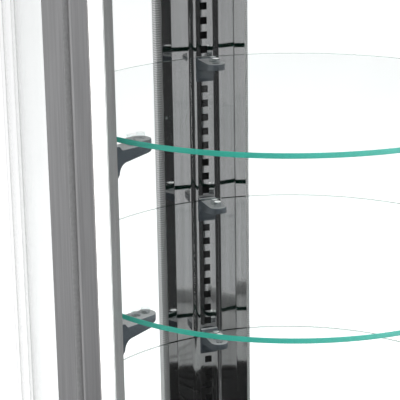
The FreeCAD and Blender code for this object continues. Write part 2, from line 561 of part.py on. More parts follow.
# Pivot plates on the deck and under the roof, with their pins
def hinges():
    radius = f"({DOOR_IN} + {DOOR_THICK} / 2)"
    turn = f"{LEFT} + {STILE_TURN}"
    offset = f"({DOOR_THICK} / 2 - d.stile_half)"
    plates, pins = [], []
    levels = {"low": ("d.base_top", "d.base_top", "d.base_top - 1"),
              "high": (f"{ROOF_LOW} - d.hinge_plate", f"{ROOF_LOW} - d.door_gap - d.pin_reach",
                       f"{ROOF_LOW} - d.hinge_plate - 1")}
    for name, (plate_z, pin_z, bore_z) in levels.items():
        lug = cylinder(f"hinge_lug_{name}", "d.hinge_radius", "d.hinge_plate", x=radius, y=offset, z=plate_z,
                       turn=turn)
        leaf = box(f"hinge_leaf_{name}", f"{DOOR_THICK} - 6", "d.hinge_leaf", "d.hinge_plate",
                   x=f"{DOOR_IN} + 1", y=offset, z=plate_z, turn=turn)
        bore = cylinder(f"hinge_plate_bore_{name}", "d.pin_radius + d.running_gap", "d.hinge_plate + 2",
                        x=radius, y=offset, z=bore_z, turn=turn)
        plates.append(cut(f"hinge_bracket_{name}", fuse(f"hinge_plate_{name}", lug, leaf), bore))
        pins.append(cylinder(f"hinge_pin_{name}", "d.pin_radius", "d.door_gap + d.pin_reach", x=radius,
                             y=offset, z=pin_z, turn=turn))
    node(group("hinge_brackets", plates))
    node(group("hinge_pins", pins))


def rotor(name, where, blades=5):
    """Axial fan: bored hub and pitched blades about the Z axis of its own frame."""
    pieces = [cylinder(f"{name}_hub", "d.fan_hub", "d.fan_deep")]
    for i in range(blades):
        blade = box(f"{name}_blade_{i}", "d.fan_radius - d.fan_hub + 4", "30", "d.blade_thick")
        place(blade, x="d.fan_hub - 4", y="0 - 12", z="d.fan_deep / 2 + 4", turn=f"360 / {blades} * {i}",
              axis="1; 0; 0", lean="0 - 22")
        pieces.append(blade)
    bore = cylinder(f"{name}_bore", "d.shaft_radius + d.running_gap", "d.fan_deep + 2", z="0 - 1")
    return place(cut(name, fuse(f"{name}_blank", *pieces), bore), **where)


# Compressor, condenser and its fan in the base
def machine():
    x, y = "d.compressor_x", "d.compressor_y"
    plate_z = f"({PAN_TOP} + d.mount_height)"
    can_z = f"({plate_z} + d.plate_thick)"
    plate = box("compressor_plate", "d.plate_long", "d.plate_wide", "d.plate_thick",
                x=f"{x} - d.plate_long / 2", y=f"{y} - d.plate_wide / 2", z=plate_z)
    can = doc.addObject("PartDesign::Body", "compressor_can")
    r, h = "d.compressor_radius", "d.compressor_height"
    outline = [("0", "0"), (f"{r} - 12", "0"), (r, "14"),
               (r, f"{h} - 45", (f"{r} - 18", f"{h} - 12", "DistanceX", "0 - 4")), ("12", h), ("0", h)]
    sketch = section(can, "compressor_half", "XZ_Plane", outline)
    turned = can.newObject("PartDesign::Revolution", "compressor_turned")
    turned.Profile = sketch
    turned.ReferenceAxis = (sketch, ["V_Axis"])
    turned.Angle = 360
    can.Tip = turned
    place(can, x=x, y=y, z=can_z)
    cover = box("compressor_terminal", "26", "50", "60", x=f"{x} + {r} - 6", y=f"{y} - 25", z=f"{can_z} + 40")
    node(fuse("compressor", plate, can, cover))
    spots = [(sx, sy) for sx in ("-", "+") for sy in ("-", "+")]
    node(group("compressor_mounts", [
        cylinder(f"compressor_mount_{i}", "d.mount_radius", "d.mount_height",
                 x=f"{x} {sx} (d.plate_long / 2 - 16)", y=f"{y} {sy} (d.plate_wide / 2 - 16)", z=PAN_TOP)
        for i, (sx, sy) in enumerate(spots)]))

    cy, tall = CONDENSER_Y, "d.condenser_tall"
    fins = box("condenser_fins", "d.condenser_long - 4", "d.condenser_deep - 8", f"{tall} - 8",
               x="2 - d.condenser_long / 2", y=f"{cy} - d.condenser_deep / 2 + 4", z=f"{PAN_TOP} + 4")
    ends = [box(f"condenser_end_{i}", "2.5", "d.condenser_deep", tall,
                x=edge, y=f"{cy} - d.condenser_deep / 2", z=PAN_TOP)
            for i, edge in enumerate(("0 - d.condenser_long / 2", "d.condenser_long / 2 - 2.5"))]
    node(fuse("condenser", fins, *ends))

    back = f"({cy} + d.condenser_deep / 2)"
    centre = f"({PAN_TOP} + d.shroud_size / 2)"
    frame = box("shroud_frame", "d.shroud_size", "d.shroud_deep", "d.shroud_size",
                x="0 - d.shroud_size / 2", y=back, z=PAN_TOP)
    throat = cylinder("shroud_throat", "d.fan_radius + 4", "d.shroud_deep + 2", y=f"{back} - 1", z=centre,
                      axis="1; 0; 0", lean="-90")
    motor_y = f"({back} + d.shroud_deep + 6)"
    motor = cylinder("fan_motor", "d.motor_radius", "d.motor_long", y=motor_y, z=centre, axis="1; 0; 0",
                     lean="-90")
    shaft = cylinder("fan_shaft", "d.shaft_radius", f"{motor_y} - {back} - 2", y=f"{back} + 3", z=centre,
                     axis="1; 0; 0", lean="-90")
    strut = box("fan_strut", "d.shroud_size", "8", "12", x="0 - d.shroud_size / 2", y=f"{motor_y} - 7",
                z=f"{centre} - 6")
    node(fuse("condenser_fan_shroud", cut("shroud_ring", frame, throat), motor, shaft, strut))
    node(rotor("condenser_fan", {"y": f"{back} + 4", "z": centre, "axis": "1; 0; 0", "lean": "-90"}))


# Evaporator, its fan, drip tray, electrics and copper lines
def cold_side():
    floor = f"({DECK_LOW} + d.well_floor)"
    y = "d.evaporator_y"
    fins = box("evaporator_fins", "d.evaporator_long - 8", "d.evaporator_wide", "d.evaporator_tall - 6",
               x="4 - d.evaporator_long / 2", y=f"{y} - d.evaporator_wide / 2", z=f"{floor} + 3")
    ends = [box(f"evaporator_end_{i}", "5", "d.evaporator_wide + 6", "d.evaporator_tall", x=edge,
                y=f"{y} - d.evaporator_wide / 2 - 3", z=floor)
            for i, edge in enumerate(("0 - d.evaporator_long / 2", "d.evaporator_long / 2 - 5"))]
    node(fuse("evaporator", fins, *ends))
    fan_y = "d.evaporator_fan_y"
    motor = cylinder("evaporator_motor", "d.motor_radius", "30", y=fan_y, z=floor)
    shaft = cylinder("evaporator_shaft", "d.shaft_radius", "24", y=fan_y, z=f"{floor} + 29")
    node(fuse("evaporator_fan_motor", motor, shaft))
    node(rotor("evaporator_fan", {"y": fan_y, "z": f"{floor} + 34"}))

    tray = box("tray_block", "d.tray_long", "d.tray_wide", "d.tray_tall", x="d.tray_x - d.tray_long / 2",
               y="d.tray_y - d.tray_wide / 2", z=PAN_TOP)
    hollow = box("tray_hollow", "d.tray_long - 2 * d.tray_wall", "d.tray_wide - 2 * d.tray_wall",
                 "d.tray_tall", x="d.tray_x - d.tray_long / 2 + d.tray_wall",
                 y="d.tray_y - d.tray_wide / 2 + d.tray_wall", z=f"{PAN_TOP} + d.tray_wall")
    node(cut("drip_tray", tray, hollow))
    node(box("electrical_box", "d.box_long", "d.box_wide", "d.box_tall", x="d.box_x - d.box_long / 2",
             y="d.box_y - d.box_wide / 2", z=PAN_TOP))

    doc.recompute()
    node(copper_lines())


def copper_lines():
    """Discharge, suction and liquid lines between compressor, condenser and evaporator."""
    cx, cy = number("d.compressor_x"), number("d.compressor_y")
    top = number(f"{PAN_TOP} + d.mount_height + d.plate_thick + d.compressor_height")
    reach = number("d.compressor_radius")
    coil_x = -number("d.condenser_long") / 2
    coil_y = number(CONDENSER_Y)
    coil_top = number(f"{PAN_TOP} + d.condenser_tall")
    well = number(f"{DECK_LOW} + d.well_floor")
    cold_back = number("d.evaporator_y + d.evaporator_wide / 2")
    gate, side = number(LINE_GATE), number("d.line_half")
    bend = 14
    run = number("d.line_radius")
    discharge = [(cx - reach, cy, top - 70), (cx - reach - 24, cy, top - 70),
                 (cx - reach - 24, cy, top + 22), (coil_x - 24, coil_y, top + 22),
                 (coil_x - 24, coil_y, coil_top - 24), (coil_x, coil_y, coil_top - 24)]
    suction = [(cx + 6, cy, top), (cx + 6, cy, top + 44), (-side, gate, top + 44), (-side, gate, well + 26),
               (-side, cold_back, well + 26)]
    liquid = [(-coil_x, coil_y, coil_top - 30), (-coil_x + 26, coil_y, coil_top - 30),
              (-coil_x + 26, coil_y + 90, top + 60), (side, gate, top + 60), (side, gate, well + 26),
              (side, cold_back, well + 26)]
    lines = Part.makeCompound([tube(route, run, bend) for route in (discharge, suction, liquid)])
    obj = doc.addObject("Part::Feature", "copper_lines")
    obj.Shape = lines
    return obj


def tube(points, radius, bend):
    """Round tube along straight runs joined by bends."""
    spots = [Vector(*p) for p in points]
    edges, start = [], spots[0]
    for before, corner, after in zip(spots, spots[1:], spots[2:]):
        inward, outward = (corner - before).normalize(), (after - corner).normalize()
        first, last = corner - inward * bend, corner + outward * bend
        chord = (first + last) * 0.5
        half, height = (last - first).Length / 2, (corner - chord).Length
        middle = chord + (corner - chord).normalize() * (half * height / (bend + half))
        edges += [Part.makeLine(start, first), Part.Arc(first, middle, last).toShape()]
        start = last
    edges.append(Part.makeLine(start, spots[-1]))
    path = Part.Wire(edges)
    profile = Part.Wire(Part.makeCircle(radius, spots[0], spots[1] - spots[0]))
    return path.makePipeShell([profile], True, False)


# Control panel in the front of the base, and the power inlet behind
def controls():
    face = f"(0 - {PANEL_FACE})"
    middle = f"({PANEL_LOW} + d.panel_tall / 2)"
    gap = "d.control_gap"
    block = box("panel_block", "d.panel_long", "d.panel_deep", "d.panel_tall",
                x="0 - d.panel_long / 2", y=face, z=PANEL_LOW)
    window_x = "(0 - d.panel_long / 2 + 6)"
    cuts = [box("window_seat", "d.window_long", "3", "d.window_tall", x=window_x, y=f"{face} - 1",
                z=f"{middle} - d.window_tall / 2")]
    buttons = []
    for i, name in enumerate(("set", "up", "down")):
        x = f"(d.button_pitch * ({i} - 1) - d.button_long / 2)"
        z = f"({middle} - d.button_tall / 2)"
        cuts.append(box(f"{name}_button_well", f"d.button_long + 2 * {gap}", "d.button_deep + 4",
                        f"d.button_tall + 2 * {gap}", x=f"{x} - {gap}", y=f"{face} - 1", z=f"{z} - {gap}"))
        buttons.append(box(f"{name}_button", "d.button_long", "d.button_deep + d.button_out",
                           "d.button_tall", x=x, y=f"{face} - d.button_out", z=z))
    rockers = []
    for i, name in enumerate(("light_switch", "power_switch")):
        x = f"(d.panel_long / 2 - 18 - d.rocker_pitch * (1 - {i}))"
        cuts.append(box(f"{name}_well", f"d.rocker_wide + 2 * {gap}", "d.rocker_radius + 5",
                        "d.rocker_tall + 6", x=f"{x} - d.rocker_wide / 2 - {gap}", y=f"{face} - 1",
                        z=f"{middle} - d.rocker_tall / 2 - 3"))
        across = {"x": f"{x} - d.rocker_wide / 2 - {gap} - d.pin_bite", "y": f"{face} + d.pin_set",
                  "z": middle, "axis": "0; 1; 0", "lean": "90"}
        reach = f"d.rocker_wide + 2 * {gap} + 2 * d.pin_bite"
        cuts.append(cylinder(f"{name}_bore", "d.rocker_pin + d.running_gap", reach, **across))
        pin = cylinder(f"{name}_pin", "d.rocker_pin", reach, **across)
        rockers.append(fuse(name, rocker(name, x, face, middle), pin))
    node(cut("control_panel", block, *cuts))
    node(box("display_window", "d.window_long", "d.window_thick", "d.window_tall", x=window_x,
             y=f"{face} + 1", z=f"{middle} - d.window_tall / 2"))
    for piece in buttons + rockers:
        node(piece)
    node(box("power_inlet", "d.inlet_deep", "d.inlet_long", "d.inlet_tall",
             x="d.case_radius - 1 - d.inlet_deep", y="0 - d.inlet_long / 2", z="d.inlet_low", turn="135"))


def rocker(name, x, face, middle):
    """Rocker that tips about a pin across the panel."""
    body = doc.addObject("PartDesign::Body", f"{name}_paddle")
    half, deep, out = "d.rocker_tall / 2", "d.rocker_radius", "d.rocker_out"
    outline = [(f"0 - {out}", f"0 - {half}"), (f"1 - {out}", "0"), ("0", half), (deep, "4"), (deep, "0 - 4"),
               ("1", f"0 - {half}")]
    sketch = section(body, f"{name}_side", "YZ_Plane", outline)
    pad(body, f"{name}_pad", sketch, "d.rocker_wide", True)
    return place(body, x=x, y=face, z=middle)


base()
feet()
jambs()
rear_column()
fixed_glazing()
roof()
brackets()
shelves()
door()
hinges()
machine()
cold_side()
controls()
doc.recompute()

faults = [o.Label for o in doc.Objects if "Invalid" in o.State or "Error" in o.State]
faults += [o.Label for o in nodes if o.Shape.isNull() or not o.Shape.isValid() or not o.Shape.Solids]
if faults:
    raise SystemExit(f"faulty pieces: {faults}")

os.makedirs("parts", exist_ok=True)
for piece in nodes:
    piece.Shape.exportStep(f"parts/{piece.Label}.step")
print(len(nodes), "nodes,", sum(len(o.Shape.Solids) for o in nodes), "solids")
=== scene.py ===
# %% [markdown]
# # A round refrigerated display case
# The case was drawn as solids, and this lesson gives it its looks. Each solid is already in
# its place, in metres, so nothing here is moved to fit: pieces that need a finer shape are
# modelled again over their solid, and the rest only get a finish.

# %% Load the case as a fixed frame
import bmesh
import bpy
import json
import math
from mathutils import Matrix, Vector

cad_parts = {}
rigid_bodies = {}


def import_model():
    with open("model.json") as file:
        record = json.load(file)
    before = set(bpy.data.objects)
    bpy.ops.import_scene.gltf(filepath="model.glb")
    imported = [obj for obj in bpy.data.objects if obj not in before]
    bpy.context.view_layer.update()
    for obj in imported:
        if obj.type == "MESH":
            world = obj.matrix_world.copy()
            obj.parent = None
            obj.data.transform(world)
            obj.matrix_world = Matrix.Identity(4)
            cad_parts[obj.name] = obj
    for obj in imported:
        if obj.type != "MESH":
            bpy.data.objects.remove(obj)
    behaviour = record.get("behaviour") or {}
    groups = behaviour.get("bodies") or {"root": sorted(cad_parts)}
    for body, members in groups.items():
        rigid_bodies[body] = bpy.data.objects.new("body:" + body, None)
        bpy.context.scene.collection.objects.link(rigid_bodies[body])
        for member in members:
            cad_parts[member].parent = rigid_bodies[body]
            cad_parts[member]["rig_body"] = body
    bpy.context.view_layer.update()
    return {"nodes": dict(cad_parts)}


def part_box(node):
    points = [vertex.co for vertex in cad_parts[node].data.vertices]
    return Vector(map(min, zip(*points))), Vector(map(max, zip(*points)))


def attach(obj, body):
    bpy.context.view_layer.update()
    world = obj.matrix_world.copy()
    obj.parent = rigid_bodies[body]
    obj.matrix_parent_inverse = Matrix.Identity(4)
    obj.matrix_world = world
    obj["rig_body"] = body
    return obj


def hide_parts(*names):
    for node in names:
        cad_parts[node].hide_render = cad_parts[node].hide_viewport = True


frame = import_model()
node = frame["nodes"]

# %% [markdown]
# ## The camera
# The picture was taken from beside the door's hinge, from above, with a long lens. The place
# and the lens were found by fitting the rims of the round shelves, which are circles of a
# known size at known heights. The camera is tipped down to look at them. Its place is given
# as a distance from the case's axis in metres and an angle from the front in degrees.

# %% Camera
reach, side, eye_height = 1.7471, -22.47, 1.3927
yaw, tip, roll = 3.586, 16.142, -0.918
lens, sensor_width, nearest = 135.25, 36, 0.05

stand = math.radians(270 + side)
aim = math.radians(90 + side + yaw)
down = math.radians(tip)
looking = Vector((math.cos(aim) * math.cos(down), math.sin(aim) * math.cos(down),
                  -math.sin(down)))
rolled = Matrix.Rotation(math.radians(roll), 3, "Z").to_quaternion()
camera = bpy.data.objects.new("camera", bpy.data.cameras.new("camera"))
bpy.context.scene.collection.objects.link(camera)
camera.data.lens = lens
camera.data.sensor_width = sensor_width
camera.data.clip_start = nearest
camera.rotation_mode = "QUATERNION"
camera.location = (reach * math.cos(stand), reach * math.sin(stand), eye_height)
camera.rotation_quaternion = looking.to_track_quat("-Z", "Y") @ rolled
bpy.context.scene.camera = camera
print("camera at", [round(v, 3) for v in camera.location], "lens", lens)

# %% [markdown]
# ## Helpers for nodes
# Every look below is a tree of nodes. A few short functions keep the trees easy to read: they
# add a node, join two sockets, set numbers on sockets, work out one number from others, move
# a number from one range to another, turn a number into a colour, and mix two shaders.

# %% Node helpers
def add(tree, kind, **settings):
    made = tree.nodes.new(kind)
    for name, value in settings.items():
        setattr(made, name, value)
    return made


def link(tree, source, target):
    tree.links.new(source, target)


def set_sockets(made, values):
    for name, value in values.items():
        made.inputs[name].default_value = value


def maths(tree, operation, *values):
    """One step of arithmetic. Each value is a number or a socket."""
    made = add(tree, "ShaderNodeMath", operation=operation)
    for socket, value in zip(made.inputs, values):
        if isinstance(value, (int, float)):
            socket.default_value = value
        else:
            link(tree, value, socket)
    return made.outputs[0]


def moved_range(tree, value, old, new):
    made = add(tree, "ShaderNodeMapRange")
    set_sockets(made, {"From Min": old[0], "From Max": old[1], "To Min": new[0], "To Max": new[1]})
    link(tree, value, made.inputs["Value"])
    return made.outputs["Result"]


def tones(tree, value, *stops):
    """A colour ramp. Its stops are places from 0 to 1, in rising order, and their colours."""
    made = add(tree, "ShaderNodeValToRGB")
    elements = made.color_ramp.elements
    for i, (at, colour) in enumerate(stops):
        stop = elements[i] if i < 2 else elements.new(at)
        stop.position = at
        stop.color = (*colour, 1)
    link(tree, value, made.inputs["Fac"])
    return made.outputs["Color"]


def mix_shaders(tree, share, first, second):
    """The first shader where the share is 0, the second where it is 1."""
    made = add(tree, "ShaderNodeMixShader")
    link(tree, share, made.inputs["Fac"])
    link(tree, first.outputs[0], made.inputs[1])
    link(tree, second.outputs[0], made.inputs[2])
    return made


unit, both_ways = (0, 1), (-1, 1)
print("helpers for nodes ready")

# %% [markdown]
# ## The room
# The picture has a white ground, but the polished column shows that the room in front of the
# case was grey and its sides were dark. So the world is white for rays from the camera and
# for rays that pass through glass, and a grey room for rays that mirror off metal. A colour
# ramp makes the room: its left end is the front, its middle the sides, its right end the back.
# There are many faces of glass, so a ray may pass or bounce more often than it usually does.

# %% World
front_grey, back_grey = (0.60, 0.60, 0.61), (0.95, 0.95, 0.95)
side_greys, side_blue = [(0.07, 0.55), (0.11, 0.05), (0.50, 0.04), (0.66, 0.55)], 1.03


def along(tree, source, axis):
    split = add(tree, "ShaderNodeSeparateXYZ")
    link(tree, source, split.inputs[0])
    return split.outputs[axis]


def room_tones(tree, depth):
    """Grey of the room from -1, in front of the door, to 1, behind the case."""
    sides = [(at, (tone, tone, tone * side_blue)) for at, tone in side_greys]
    return tones(tree, moved_range(tree, depth, both_ways, unit),
                 (0, front_grey), *sides, (1, back_grey))


def straight_view(tree, path):
    """1 for a ray from the camera, also after it has passed through glass."""
    return maths(tree, "MAXIMUM", path.outputs["Is Camera Ray"],
                 path.outputs["Is Transmission Ray"])


def mirrored_view(tree, path):
    """1 for a ray that has come off a mirror, also after it has passed through glass."""
    half_a_bounce = 0.5
    return maths(tree, "GREATER_THAN", path.outputs["Glossy Depth"], half_a_bounce)


world = bpy.data.worlds.new("studio_room")
bpy.context.scene.world = world
world.use_nodes = True
tree = world.node_tree
tree.nodes.clear()
path = add(tree, "ShaderNodeLightPath")
heading = add(tree, "ShaderNodeTexCoord").outputs["Generated"]
mirrored_room = add(tree, "ShaderNodeBackground")
link(tree, room_tones(tree, along(tree, heading, "Y")), mirrored_room.inputs["Color"])
soft_light = add(tree, "ShaderNodeBackground")
set_sockets(soft_light, {"Color": (0.97, 0.98, 1.0, 1), "Strength": 0.55})
white_ground = add(tree, "ShaderNodeBackground")
set_sockets(white_ground, {"Color": (1, 1, 1, 1)})
seen = mix_shaders(tree, straight_view(tree, path), soft_light, white_ground)
room = mix_shaders(tree, mirrored_view(tree, path), seen, mirrored_room)
link(tree, room.outputs[0], add(tree, "ShaderNodeOutputWorld").inputs["Surface"])
bpy.context.scene.view_settings.view_transform = "Standard"
bpy.context.scene.cycles.transparent_max_bounces = 32
bpy.context.scene.cycles.max_bounces = 24
bpy.context.scene.cycles.transmission_bounces = 16
print("world", world.name, "with", len(tree.nodes), "nodes")

# %% [markdown]
# ## Studio lamps
# One large soft lamp hangs high to the right of the door, a weaker one stands to the left, and
# a third hangs above. The right one is so high that the polished column does not mirror it by
# way of the glass shelves, which would paint white stripes on it.

# %% Lamps
def soft_lamp(name, place, target, size, power):
    lamp = bpy.data.objects.new(name, bpy.data.lights.new(name, "AREA"))
    bpy.context.scene.collection.objects.link(lamp)
    lamp.data.shape = "SQUARE"
    lamp.data.size = size
    lamp.data.energy = power
    lamp.location = place
    lamp.rotation_euler = (Vector(target) - Vector(place)).to_track_quat("-Z", "Y").to_euler()
    return lamp


middle = (0, 0, 0.9)
lamps = [soft_lamp("right_softbox", (2.0, -1.5, 3.9), middle, size=1.8, power=75),
         soft_lamp("left_softbox", (-2.8, -1.2, 2.2), middle, size=1.6, power=18),
         soft_lamp("top_softbox", (0.3, -0.4, 4.2), middle, size=2.4, power=40)]
print(len(lamps), "lamps")

# %% [markdown]
# ## The floor
# A pale floor catches the case's shadow. Rays from the camera also get a little light from
# the floor itself, which takes it to white where no shadow falls. Rays that mirror off metal
# see the tones of the room in it, as they do in the world above.

# %% Floor
def start_finish(name):
    material = bpy.data.materials.new(name)
    material.use_nodes = True
    tree = material.node_tree
    return material, tree, tree.nodes["Principled BSDF"]


def own_place(tree):
    """The place of a point on the piece, in the piece's own coordinates."""
    return add(tree, "ShaderNodeTexCoord").outputs["Object"]


def vector_maths(tree, operation, source, other=None):
    made = add(tree, "ShaderNodeVectorMath", operation=operation)
    link(tree, source, made.inputs[0])
    if other is not None:
        made.inputs[1].default_value = other
    return made.outputs["Value" if operation in ("LENGTH", "DOT_PRODUCT") else "Vector"]


floor_half = 30
sheet = bpy.data.meshes.new("floor")
shape = bmesh.new()
bmesh.ops.create_grid(shape, x_segments=2, y_segments=2, size=floor_half)
shape.to_mesh(sheet)
shape.free()
floor = bpy.data.objects.new("floor", sheet)
bpy.context.scene.collection.objects.link(floor)
pale_floor, tree, matt = start_finish("pale_floor")
set_sockets(matt, {"Base Color": (0.86, 0.86, 0.86, 1), "Roughness": 0.9})
path = add(tree, "ShaderNodeLightPath")
own_light = add(tree, "ShaderNodeEmission")
set_sockets(own_light, {"Color": (0.62, 0.62, 0.62, 1)})
link(tree, straight_view(tree, path), own_light.inputs["Strength"])
both = add(tree, "ShaderNodeAddShader")
link(tree, matt.outputs[0], both.inputs[0])
link(tree, own_light.outputs[0], both.inputs[1])
outward = vector_maths(tree, "NORMALIZE", own_place(tree))
room = add(tree, "ShaderNodeEmission")
link(tree, room_tones(tree, along(tree, outward, "Y")), room.inputs["Color"])
choice = mix_shaders(tree, mirrored_view(tree, path), both, room)
link(tree, choice.outputs[0], tree.nodes["Material Output"].inputs["Surface"])
sheet.materials.append(pale_floor)
print("floor", sheet.name)

# %% [markdown]
# ## Finishes made of grain
# Paint, plastic and metal all have a fine grain in their colour, their gloss and their
# surface. One function makes it from noise in the piece's own coordinates: it mixes two close
# tones, moves the roughness between two values, and dents the surface a little. Noise keeps
# near its middle, so only the middle of its range is used.

# %% Grain finish
noise_span = (0.3, 0.7)
dark_end, light_end = 0.35, 0.65
finer = 5


def pattern_space(tree, stretch=(1, 1, 1)):
    mapping = add(tree, "ShaderNodeMapping")
    set_sockets(mapping, {"Scale": stretch})
    link(tree, own_place(tree), mapping.inputs["Vector"])
    return mapping.outputs["Vector"]


def noise(tree, space, scale, detail=4.0):
    made = add(tree, "ShaderNodeTexNoise")
    set_sockets(made, {"Scale": scale, "Detail": detail})
    link(tree, space, made.inputs["Vector"])
    return made.outputs["Fac"]


def between(tree, value, low, high):
    return moved_range(tree, value, noise_span, (low, high))


def dents(tree, height, strength, depth):
    made = add(tree, "ShaderNodeBump")
    set_sockets(made, {"Strength": strength, "Distance": depth})
    link(tree, height, made.inputs["Height"])
    return made.outputs["Normal"]


def grain_finish(name, dark, light, rough, metal=0.0, grain=150.0, stretch=(1, 1, 1),
                 dent=0.2, depth=0.0003):
    material, tree, shader = start_finish(name)
    space = pattern_space(tree, stretch)
    coarse = noise(tree, space, grain)
    fine = noise(tree, space, grain * finer, detail=2.0)
    colour = tones(tree, coarse, (dark_end, dark), (light_end, light))
    link(tree, colour, shader.inputs["Base Color"])
    link(tree, between(tree, fine, *rough), shader.inputs["Roughness"])
    link(tree, dents(tree, fine, dent, depth), shader.inputs["Normal"])
    set_sockets(shader, {"Metallic": metal})
    return material


copper = grain_finish("copper", (0.50, 0.22, 0.12), (0.72, 0.36, 0.22), (0.22, 0.4), 1.0, 60)
print("first finish", copper.name)

# %% [markdown]
# ## The grey finishes
# Nearly all the other finishes are greys, some of them a little cool. Each has its darkest and
# its lightest tone, its smoothest and its roughest gloss, how metallic it is and how fine its
# grain is. Drawn or brushed metal has its grain stretched along one direction.

# %% Grey finishes
drawn_up, polished_up = (6, 6, 0.15), (5, 5, 0.1)
brushed_across, fin_lines = (8, 0.3, 8), (14, 0.5, 0.5)


def grey(value, cool=0.0):
    return (value * (1 - cool), value, value * (1 + cool))


def grey_finish(name, dark, light, rough, metal=0.0, grain=150.0, cool=0.0, **more):
    return grain_finish(name, grey(dark, cool), grey(light, cool), rough, metal, grain, **more)


def change_finish(finish, values):
    set_sockets(finish.node_tree.nodes["Principled BSDF"], values)


silver_paint = grey_finish("silver_paint", 0.44, 0.50, (0.32, 0.42), 0.35, 400, cool=0.01)
satin_aluminium = grey_finish("satin_aluminium", 0.46, 0.54, (0.36, 0.46), 0.9, 60,
                              stretch=drawn_up)
rail_aluminium = grey_finish("rail_aluminium", 0.44, 0.52, (0.30, 0.40), 0.5, 60,
                             stretch=drawn_up)
polished_steel = grey_finish("polished_steel", 0.52, 0.58, (0.04, 0.07), 1.0, 30,
                             stretch=polished_up, dent=0.05)
brushed_steel = grey_finish("brushed_steel", 0.46, 0.56, (0.22, 0.34), 1.0, 60,
                            stretch=brushed_across)
zinc_sheet = grey_finish("zinc_sheet", 0.34, 0.52, (0.35, 0.55), 0.85, 55, cool=0.02)
white_liner = grey_finish("white_liner", 0.74, 0.80, (0.35, 0.5), grain=300)
column_black = grey_finish("column_black", 0.0025, 0.005, (0.6, 0.8), grain=200)
moulded_black = grey_finish("moulded_black", 0.085, 0.115, (0.20, 0.30), grain=700, cool=0.14)
change_finish(moulded_black, {"Specular IOR Level": 0.15})
# A painted reflection: the brackets' upward faces are paler, standing in for the bright shelf
# glass above them.
painted_reflection_top = grey_finish("painted_reflection_top", 0.30, 0.37, (0.35, 0.5), grain=500, cool=0.02)
grey_seal = grey_finish("grey_seal", 0.10, 0.16, (0.5, 0.7), grain=300)
black_rubber = grey_finish("black_rubber", 0.012, 0.03, (0.6, 0.8), grain=300)
black_enamel = grey_finish("black_enamel", 0.012, 0.02, (0.18, 0.28), grain=90)
fan_plastic = grey_finish("fan_plastic", 0.02, 0.035, (0.35, 0.5), grain=250)
bright_fins = grey_finish("bright_fins", 0.45, 0.62, (0.3, 0.45), 0.9, 40, stretch=fin_lines)
dark_fins = grey_finish("dark_fins", 0.015, 0.06, (0.35, 0.5), 0.3, 40, stretch=fin_lines)
control_black = grey_finish("control_black", 0.02, 0.03, (0.35, 0.5), grain=600)
key_grey = grey_finish("key_grey", 0.22, 0.30, (0.4, 0.5), grain=600)
smoked_window = grey_finish("smoked_window", 0.006, 0.012, (0.08, 0.14), grain=200, dent=0.02)
seam_vinyl = grey_finish("seam_vinyl", 0.44, 0.50, (0.5, 0.6), grain=300, dent=0.05)
print(len(bpy.data.materials), "finishes so far")

# %% [markdown]
# ## Clear panes
# The curved panes are thin, so light goes straight through them. A see-through shader mixed
# with a mirror by the Fresnel share is enough, and it lets the lamps through. Only the face
# that light meets first mirrors it, because a pane's far face would mirror it a second time.
# Wiped glass keeps faint smears, so the tint changes a little from place to place. A thick
# sheet also bends light and lifts what lies under it, so the function can take a bend. Light on
# its way from a lamp goes straight through even then, or the sheet would cast a black shadow.

# %% Pane glass
smear_scale, smear_tint = 9, 0.992


def pane_finish(name, tint, index, bend=0.0):
    material, tree, shader = start_finish(name)
    tree.nodes.remove(shader)
    smears = noise(tree, pattern_space(tree), smear_scale)
    smeared = tuple(smear_tint * part for part in tint)
    wiped = tones(tree, smears, (noise_span[0], smeared), (noise_span[1], tint))
    clear = add(tree, "ShaderNodeBsdfTransparent")
    link(tree, wiped, clear.inputs["Color"])
    through = clear
    if bend:
        through = add(tree, "ShaderNodeBsdfRefraction")
        set_sockets(through, {"IOR": bend, "Roughness": 0.0})
        link(tree, wiped, through.inputs["Color"])
    shine = add(tree, "ShaderNodeBsdfGlossy")
    set_sockets(shine, {"Roughness": 0.0})
    share = add(tree, "ShaderNodeFresnel")
    set_sockets(share, {"IOR": index})
    far_face = add(tree, "ShaderNodeNewGeometry").outputs["Backfacing"]
    mirrored = maths(tree, "MULTIPLY", share.outputs[0], maths(tree, "SUBTRACT", 1, far_face))
    surface = mix_shaders(tree, mirrored, through, shine)
    if bend:
        path = add(tree, "ShaderNodeLightPath")
        surface = mix_shaders(tree, path.outputs["Is Shadow Ray"], surface, clear)
    link(tree, surface.outputs[0], tree.nodes["Material Output"].inputs["Surface"])
    return material


clear_pane = pane_finish("clear_pane", (0.996, 0.998, 0.997), index=1.2)
print("pane glass", clear_pane.name)

# %% [markdown]
# ## Lit lenses
# Strip lamps stand beside the door, and their opal lens gives light evenly. A second strip
# runs up the gap between the door's two panes, along each stile. It is one frame with the
# metal spacer above and below it, so its finish gives light only between two heights, and only
# on the side away from the case's axis.

# %% Lit lenses
lamp_strength, strip_strength = 0.5, 1.6
spacer_bar, strip_inside = 0.0121, 0.3250
level_only = (1, 1, 0)


def lens_finish(name, strength):
    material, tree, shader = start_finish(name)
    speckle = noise(tree, pattern_space(tree), scale=900)
    opal = tones(tree, speckle, (noise_span[0], grey(0.86)), (noise_span[1], grey(0.94)))
    link(tree, opal, shader.inputs["Base Color"])
    set_sockets(shader, {"Roughness": 0.4, "Emission Color": (1, 0.99, 0.97, 1),
                         "Emission Strength": strength})
    return material, tree, shader


def height_mask(tree, low, high):
    """1 between two heights and 0 outside them."""
    height = along(tree, own_place(tree), "Z")
    return maths(tree, "MULTIPLY", maths(tree, "GREATER_THAN", height, low),
                 maths(tree, "LESS_THAN", height, high))


def outside_mask(tree, distance, centre=(0, 0, 0)):
    """1 farther from an upright line through a centre than a distance, 0 nearer."""
    away = vector_maths(tree, "SUBTRACT", own_place(tree), centre)
    level = vector_maths(tree, "MULTIPLY", away, level_only)
    return maths(tree, "GREATER_THAN", vector_maths(tree, "LENGTH", level), distance)


